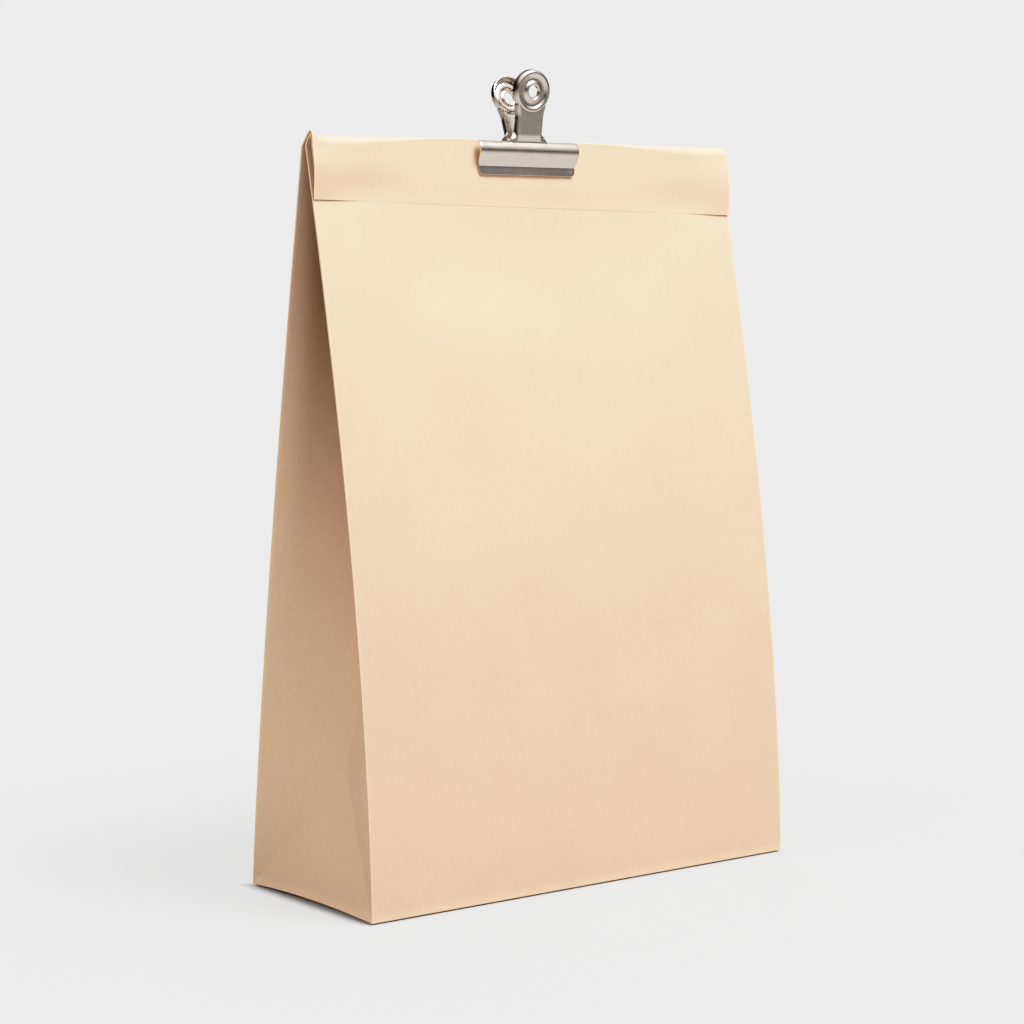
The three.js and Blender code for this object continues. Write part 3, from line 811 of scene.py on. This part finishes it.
def sheet_half(z):
    """Half length of the jaw's sheet at a height: the lip is shorter, with round corners."""
    if z < LIP_FOOT + LIP_CORNER:
        drop = LIP_FOOT + LIP_CORNER - z
        return LIP_HALF - LIP_CORNER + math.sqrt(max(LIP_CORNER ** 2 - drop ** 2, 0))
    return lerp(LIP_HALF, BARREL_HALF, smoothstep(z, -7.9, -5.4))


def handle_line():
    """Middle line of the handle from the barrel to the straight flaring strip."""
    start = barrel_point(SPLIT_ANGLE)
    angle = math.radians(SPLIT_ANGLE)
    tangent = Vector((math.sin(angle), -math.cos(angle)))
    flare = Vector((-HANDLE_FLARE, 1)).normalized()
    root = curve_points(start, start + tangent * 1.5, HANDLE_ROOT - flare * 1.7, HANDLE_ROOT, 12)
    return root, flare


def bend_width(width, straight, radius, angle):
    """Where a point lies when the strip's edge is turned back: (x, depth)."""
    if width <= straight or angle <= 0:
        return width, 0.0
    arc = radius * angle
    past = width - straight
    if past < arc:
        turn = past / radius
        return straight + radius * math.sin(turn), radius * (1 - math.cos(turn))
    rest = past - arc
    return (straight + radius * math.sin(angle) + rest * math.cos(angle),
            radius * (1 - math.cos(angle)) + rest * math.sin(angle))


def handle_point(width, step):
    """A point of the handle strip: width is its distance from the middle, along the sheet."""
    root, flare = handle_line()
    side = -1 if width < 0 else 1
    share_out = abs(width) / HANDLE_ROOT_HALF
    if step < len(root):
        line = root[step]
        root_share = (step + 1) / len(root)
    else:
        root_share = 1
        straight_steps = HANDLE_ROWS - len(root)
        share = (step - len(root) + 1) / straight_steps
        across = min(abs(width) * 0.9, PAD_SEAT - 0.1)
        seat = max(math.sqrt(PAD_SEAT ** 2 - across ** 2), PAD_SEAT_LOW)
        drop = seat * math.cos(math.atan(HANDLE_FLARE))
        top = PAD_HEIGHT - drop
        z = lerp(HANDLE_ROOT.y, top, share)
        line = Vector((HANDLE_ROOT.x - (z - HANDLE_ROOT.y) * HANDLE_FLARE, z))
    turn = smoothstep(line.y, 4.6, 9.5)
    half = HANDLE_HALF + HANDLE_WIDENING * smoothstep(line.y, 16.0, 22.5)
    straight = half - HANDLE_BEND - STEEL / 2
    full = straight + HANDLE_BEND * math.radians(90) + HANDLE_WALL - HANDLE_BEND
    spread_half = lerp(HANDLE_ROOT_HALF, full, smoothstep(root_share, 0.0, 0.85))
    x, depth = bend_width(share_out * spread_half, straight, HANDLE_BEND, turn * math.radians(90))
    normal = Vector((1, HANDLE_FLARE)).normalized()
    return Vector((side * x, line.x + depth * normal.x, line.y + depth * normal.y))


def jaw_columns():
    side = spread(HANDLE_ROOT_HALF + 0.35, BARREL_HALF, 14)
    middle = spread(-HANDLE_ROOT_HALF, HANDLE_ROOT_HALF, 37)
    return [-x for x in reversed(side)] + middle + side


def jaw_sheet(name, rear):
    profile = jaw_profile()
    columns = jaw_columns()

    def place(column, row):
        x = columns[column]
        if row < len(profile):
            y, z = profile[row]
            if abs(x) > HANDLE_ROOT_HALF:
                share = (abs(x) - HANDLE_ROOT_HALF) / (BARREL_HALF - HANDLE_ROOT_HALF)
                x = math.copysign(lerp(HANDLE_ROOT_HALF, sheet_half(z), share), x)
            return stand_clip(Vector((x, y, z)), rear)
        step = row - len(profile)
        if abs(x) <= HANDLE_ROOT_HALF:
            return stand_clip(handle_point(x, step), rear)
        y, z = barrel_point(lerp(SPLIT_ANGLE, BARREL_END, (step + 1) / BARREL_ROWS))
        return stand_clip(Vector((x, y, z)), rear)

    piece = flat_sheet(name, len(columns), len(profile) + HANDLE_ROWS, place)
    split_handle(piece, columns, len(profile))
    modify(piece, "SOLIDIFY", thickness=STEEL * MM, offset=0, use_even_offset=True)
    modify(piece, "BEVEL", width=0.2 * MM, segments=3, limit_method="ANGLE",
           angle_limit=math.radians(60))
    return piece


def split_handle(piece, columns, first_row):
    """Deletes the two narrow strips of faces that part the handle from the barrel's edges."""
    count = len(columns)
    seams = {i for i in range(count - 1)
             if (abs(columns[i]) > HANDLE_ROOT_HALF) != (abs(columns[i + 1]) > HANDLE_ROOT_HALF)}

    def in_seam(face):
        row, column = divmod(min(face.vertices), count)
        beside = abs(columns[column]) > HANDLE_ROOT_HALF or abs(columns[column + 1]) > HANDLE_ROOT_HALF
        past_barrel = beside and row >= first_row + BARREL_ROWS - 1
        return past_barrel or (column in seams and row >= first_row - 1)

    delete_faces(piece, in_seam)


def pad_place(rear):
    flare = math.atan(HANDLE_FLARE)
    outward = Vector((0, -math.cos(flare), -math.sin(flare)))
    upward = Vector((0, -math.sin(flare), math.cos(flare)))
    centre_y = HANDLE_ROOT.x - (PAD_HEIGHT - HANDLE_ROOT.y) * HANDLE_FLARE
    centre = Vector((0, centre_y, PAD_HEIGHT))

    def place(point):
        return stand_clip(centre + Vector((point.x, 0, 0)) + upward * point.y + outward * point.z, rear)
    return place


def jaw_pad(name, rear):
    """Pressed pad: a rolled eyelet, a shallow dish, a raised ring and a turned-back wall."""
    piece = turned(name, PAD_SECTION, pad_place(rear), PAD_STEPS)

    def in_neck(face):
        angles = [TURN * (index % PAD_STEPS) / PAD_STEPS for index in face.vertices]
        downwards = sum(math.sin(angle) for angle in angles) / len(angles)
        in_wall = min(index // PAD_STEPS for index in face.vertices) >= PAD_WALL_RING
        return in_wall and downwards < -0.66

    delete_faces(piece, in_neck)
    modify(piece, "SOLIDIFY", thickness=(STEEL - 0.1) * MM, offset=0, use_even_offset=True)
    modify(piece, "BEVEL", width=0.16 * MM, segments=3, limit_method="ANGLE",
           angle_limit=math.radians(60))
    return piece


def jaw_ear(name, x, rear):
    """Ear that carries the hinge pin, drawn out to the barrel wall on one side."""
    profile = [(PIN_RADIUS + EAR_PLAY, 0), (EAR_RADIUS, 0)]
    piece = turned(name, profile, lambda point: point, 48)
    for vertex in piece.data.vertices:
        y, z = vertex.co.x / MM, vertex.co.y / MM
        outer = math.hypot(y, z) > (PIN_RADIUS + EAR_RADIUS) / 2
        if outer and y < EAR_WEB_START:
            y, z = EAR_WEB_END, z * EAR_WEB_SHARE
        vertex.co = stand_clip(Vector((x, y, z)), rear) * MM
    modify(piece, "SOLIDIFY", thickness=STEEL * MM, offset=0, use_even_offset=True)
    return piece


def build_jaw(name, rear, ear_x, material, node):
    parts = [jaw_sheet(name, rear), jaw_pad(f"{name}_pad", rear)]
    parts += [jaw_ear(f"{name}_ear", side * ear_x, rear) for side in (-1, 1)]
    piece = join(parts)
    edit(piece, face_outwards)
    smooth(piece, 38)
    finish_piece(piece, material, node, "plated_steel", node)


def build_pin(material):
    half = FRONT_EAR_X + STEEL / 2 + PIN_PLAY
    head = PIN_RADIUS + PIN_HEAD
    profile = [(0.7, -half - 0.8), (1.4, -half - 0.7), (head - 0.1, -half - 0.35), (head, -half)]
    profile += [(PIN_RADIUS, -half), (PIN_RADIUS, half)]
    profile += [(radius, -height) for radius, height in reversed(profile[:4])]
    piece = turned("hinge_pin", profile,
                   lambda point: stand_clip(Vector((point.z, point.x, point.y))), 48, True)
    smooth(piece, 40)
    finish_piece(piece, material, "bag", "plated_steel", "pivot_pin")


def wire(name, points, material, body):
    """Round wire along a line of points, as a closed mesh."""
    curve = bpy.data.curves.new(name, "CURVE")
    curve.dimensions = "3D"
    curve.bevel_depth = SPRING_WIRE * MM
    curve.bevel_resolution = 4
    curve.use_fill_caps = True
    spline = curve.splines.new("POLY")
    spline.points.add(len(points) - 1)
    for target, point in zip(spline.points, points):
        target.co = (*(stand_clip(point) * MM), 1)
    line = bpy.data.objects.new(name, curve)
    bpy.context.scene.collection.objects.link(line)
    pick(line)
    bpy.ops.object.convert(target="MESH")
    piece = bpy.context.active_object
    edit(piece, merge_points, face_outwards)
    smooth(piece, 50)
    finish_piece(piece, material, body, "spring_steel", "torsion_spring")


def coil_angle(share):
    return math.radians(150) - share * (SPRING_TURNS * TURN + math.radians(120) - TURN)


def coil_point(share):
    angle = coil_angle(share)
    return Vector((lerp(-SPRING_HALF, SPRING_HALF, share),
                   SPRING_RADIUS * math.cos(angle), SPRING_RADIUS * math.sin(angle)))


def leg_points(side):
    """Leg of the spring from the handle down to the coil: -1 is the front one."""
    line = [Vector((side * SPRING_HALF, -side * y, z)) for y, z in SPRING_LEG]
    return line + [coil_point(0 if side < 0 else 1)]


def build_spring(material):
    steps = SPRING_TURNS * 28
    wire("spring_coil", [coil_point(i / steps) for i in range(steps + 1)], material, "bag")
    wire("front_spring_leg", leg_points(-1), material, "front_jaw")
    wire("rear_spring_leg", leg_points(1), material, "rear_jaw")


# --- Studio ---------------------------------------------------------------------------------

def soften_highlights(view):
    """Plain display colours with a soft shoulder, so pale paper doesn't burn out."""
    view.view_transform = "Standard"
    view.use_curve_mapping = True
    mapping = view.curve_mapping
    mapping.white_level = (WHITE_LEVEL, WHITE_LEVEL, WHITE_LEVEL)
    shoulder = mapping.curves[3]
    for light, shown in SHOULDER:
        shoulder.points.new(light / WHITE_LEVEL, shown)
    shoulder.points[-1].location = (1.0, 0.98)
    mapping.update()


def build_world(shade):
    """Pale surroundings behind the bag; its light comes mostly from a broad glow overhead."""
    world = bpy.data.worlds.new("studio")
    bpy.context.scene.world = world
    world.use_nodes = True
    tree = world.node_tree
    seen = tree.nodes["Background"]
    seen.inputs["Color"].default_value = (shade, shade, shade, 1)
    fill = tree.nodes.new("ShaderNodeBackground")
    coordinates = tree.nodes.new("ShaderNodeTexCoord")
    facing = tree.nodes.new("ShaderNodeVectorMath")
    facing.operation = "DOT_PRODUCT"
    facing.inputs[1].default_value = Vector(GLOW_DIRECTION).normalized()
    tree.links.new(coordinates.outputs["Generated"], facing.inputs[0])
    lobe = remap(tree, facing.outputs["Value"], 0.0, 0.9, 0.0, 1.0)
    broad = combine(tree, "MULTIPLY", combine(tree, "POWER", lobe, GLOW_SOFTNESS), GLOW_STRENGTH)
    strength = combine(tree, "ADD", broad, GLOW_BASE)
    path = tree.nodes.new("ShaderNodeLightPath")
    sharp = combine(tree, "MULTIPLY", combine(tree, "POWER", lobe, GLEAM_SOFTNESS), GLEAM_STRENGTH)
    gleam = combine(tree, "MULTIPLY", sharp, path.outputs["Is Glossy Ray"])
    plain = combine(tree, "SUBTRACT", 1.0, path.outputs["Is Glossy Ray"])
    strength = combine(tree, "ADD", combine(tree, "MULTIPLY", strength, plain), gleam)
    tree.links.new(strength, fill.inputs["Strength"])
    mix = tree.nodes.new("ShaderNodeMixShader")
    tree.links.new(path.outputs["Is Camera Ray"], mix.inputs["Fac"])
    tree.links.new(fill.outputs[0], mix.inputs[1])
    tree.links.new(seen.outputs[0], mix.inputs[2])
    tree.links.new(mix.outputs[0], tree.nodes["World Output"].inputs["Surface"])


def beyond_footprint(tree, coordinates):
    """Distance outside the bag's footprint, negative under it."""
    apart = tree.nodes.new("ShaderNodeSeparateXYZ")
    tree.links.new(coordinates.outputs["Object"], apart.inputs[0])
    reaches = [combine(tree, "SUBTRACT", combine(tree, "ABSOLUTE", apart.outputs[axis], 0.0), half * MM)
               for axis, half in (("X", WIDTH / 2), ("Y", DEPTH / 2))]
    return combine(tree, "MAXIMUM", *reaches)


def build_floor(shade, albedo):
    """Pale floor that takes the bag's shadow and fades into the surroundings far away."""
    deselect_all()
    bpy.ops.mesh.primitive_plane_add(size=60)
    floor = named("studio_floor")
    material, tree, shader = new_material("studio_floor")
    coordinates = tree.nodes.new("ShaderNodeTexCoord")
    outside = beyond_footprint(tree, coordinates)
    shader.inputs["Base Color"].default_value = (albedo, albedo, albedo, 1)
    shader.inputs["Roughness"].default_value = 0.9
    shader.inputs["Specular IOR Level"].default_value = 0.1
    glow = tree.nodes.new("ShaderNodeEmission")
    glow.inputs["Color"].default_value = (shade, shade, shade, 1)
    length = tree.nodes.new("ShaderNodeVectorMath")
    length.operation = "LENGTH"
    tree.links.new(coordinates.outputs["Object"], length.inputs[0])
    fade = remap(tree, length.outputs["Value"], FLOOR_FADE_START, FLOOR_FADE_END, FLOOR_FADE_LOW, 1.0)
    path = tree.nodes.new("ShaderNodeLightPath")
    fade = combine(tree, "MULTIPLY", fade, path.outputs["Is Camera Ray"])
    fade = combine(tree, "MULTIPLY", fade, remap(tree, outside, 0.0, CONTACT_WIDTH, 0.0, 1.0))
    mix = tree.nodes.new("ShaderNodeMixShader")
    tree.links.new(fade, mix.inputs["Fac"])
    tree.links.new(shader.outputs[0], mix.inputs[1])
    tree.links.new(glow.outputs[0], mix.inputs[2])
    tree.links.new(mix.outputs[0], tree.nodes["Material Output"].inputs["Surface"])
    floor.data.materials.append(material)


def add_light(name, place, target, energy, size):
    """A soft square light that faces the target."""
    deselect_all()
    bpy.ops.object.light_add(type="AREA", location=place)
    light = bpy.context.active_object
    light.name = name
    light.rotation_euler = (Vector(target) - Vector(place)).to_track_quat("-Z", "Y").to_euler()
    light.data.energy = energy
    light.data.size = size
    return light


def build_lights(key_strength, fill_strength):
    target = (0, 0, 0.18)
    add_light("key_light", KEY_PLACE, target, key_strength, KEY_SIZE)
    side = add_light("side_fill", SIDE_PLACE, (0, 0, 0.12), fill_strength, SIDE_SIZE)
    side.visible_glossy = False
    back = add_light("back_fill", BACK_PLACE, target, BACK_SHARE * fill_strength, BACK_SIZE)
    back.visible_glossy = False


def build_camera():
    camera = bpy.data.cameras.new("camera")
    camera.sensor_width = SENSOR
    camera.lens = LENS
    view = bpy.data.objects.new("camera", camera)
    bpy.context.scene.collection.objects.link(view)
    view.location = CAMERA_PLACE
    view.rotation_euler = (math.radians(90 - CAMERA_DIP), 0, math.radians(CAMERA_TURN))
    bpy.context.scene.camera = view


# --- Add-on ---------------------------------------------------------------------------------

class FOODBAG_PG_paper(bpy.types.PropertyGroup):
    colour: bpy.props.FloatVectorProperty(
        name="Paper Colour", description="Mean colour of the kraft paper",
        subtype="COLOR", size=3, default=(0.66, 0.42, 0.26), min=0, max=1)


class FOODBAG_PG_clip(bpy.types.PropertyGroup):
    colour: bpy.props.FloatVectorProperty(
        name="Plating Colour", description="Colour of the clip's nickel plating",
        subtype="COLOR", size=3, default=(0.64, 0.56, 0.48), min=0, max=1)
    gloss: bpy.props.FloatProperty(
        name="Plating Roughness", description="Mean roughness of the plating",
        default=0.17, min=0, max=1, subtype="FACTOR")


class FOODBAG_PG_studio(bpy.types.PropertyGroup):
    shade: bpy.props.FloatProperty(
        name="Backdrop Shade", description="Grey of the surroundings",
        default=1.1, min=0)
    floor: bpy.props.FloatProperty(
        name="Floor Shade", description="Grey of the floor near the bag",
        default=0.42, min=0, max=1)
    key: bpy.props.FloatProperty(
        name="Key Power", description="Power of the soft key light, in watts",
        default=45.0, min=0)
    fill: bpy.props.FloatProperty(
        name="Fill Power", description="Power of the low light from the left, in watts",
        default=8.0, min=0)


class FOODBAG_OT_paper(bpy.types.Operator):
    """Fold the paper bag and its base"""
    bl_idname = "foodbag.paper"
    bl_label = "Paper Bag"

    def execute(self, context):
        colour = context.scene.foodbag_paper.colour
        build_bag(colour)
        build_base(colour)
        return {"FINISHED"}


class FOODBAG_OT_jaws(bpy.types.Operator):
    """Press the clip's two jaws"""
    bl_idname = "foodbag.jaws"
    bl_label = "Clip Jaws"

    def execute(self, context):
        settings = context.scene.foodbag_clip
        plating = steel_material("nickel_plating", settings.colour, settings.gloss)
        build_jaw("front_clip_jaw", False, FRONT_EAR_X, plating, "front_jaw")
        build_jaw("rear_clip_jaw", True, REAR_EAR_X, plating, "rear_jaw")
        build_pin(plating)
        return {"FINISHED"}


class FOODBAG_OT_spring(bpy.types.Operator):
    """Wind the clip's torsion spring"""
    bl_idname = "foodbag.spring"
    bl_label = "Clip Spring"

    def execute(self, context):
        build_spring(steel_material("spring_wire", WIRE_COLOUR, WIRE_ROUGHNESS))
        return {"FINISHED"}


class FOODBAG_OT_studio(bpy.types.Operator):
    """Set up the floor, lights and camera"""
    bl_idname = "foodbag.studio"
    bl_label = "Studio"

    def execute(self, context):
        settings = context.scene.foodbag_studio
        soften_highlights(context.scene.view_settings)
        build_world(settings.shade)
        build_floor(settings.shade, settings.floor)
        build_lights(settings.key, settings.fill)
        build_camera()
        return {"FINISHED"}


class FOODBAG_PT_panel(bpy.types.Panel):
    bl_label = "Food Bag"
    bl_idname = "FOODBAG_PT_panel"
    bl_space_type = "VIEW_3D"
    bl_region_type = "UI"
    bl_category = "Food Bag"

    def draw(self, context):
        layout = self.layout
        for group, names in (
                (context.scene.foodbag_paper, ("colour",)),
                (context.scene.foodbag_clip, ("colour", "gloss")),
                (context.scene.foodbag_studio, ("shade", "floor", "key", "fill"))):
            for name in names:
                layout.prop(group, name)
        for operator in OPERATORS:
            layout.operator(operator.bl_idname)


OPERATORS = (FOODBAG_OT_studio, FOODBAG_OT_paper, FOODBAG_OT_jaws, FOODBAG_OT_spring)
GROUPS = {
    "foodbag_paper": FOODBAG_PG_paper,
    "foodbag_clip": FOODBAG_PG_clip,
    "foodbag_studio": FOODBAG_PG_studio,
}


def register():
    for cls in (*GROUPS.values(), *OPERATORS, FOODBAG_PT_panel):
        bpy.utils.register_class(cls)
    for name, group in GROUPS.items():
        setattr(bpy.types.Scene, name, bpy.props.PointerProperty(type=group))


def unregister():
    for name in GROUPS:
        delattr(bpy.types.Scene, name)
    for cls in (FOODBAG_PT_panel, *reversed(OPERATORS), *GROUPS.values()):
        bpy.utils.unregister_class(cls)


def main():
    register()
    bpy.ops.foodbag.studio()
    bpy.ops.foodbag.paper()
    bpy.ops.foodbag.jaws()
    bpy.ops.foodbag.spring()
    deselect_all()


if __name__ == "__main__":
    main()
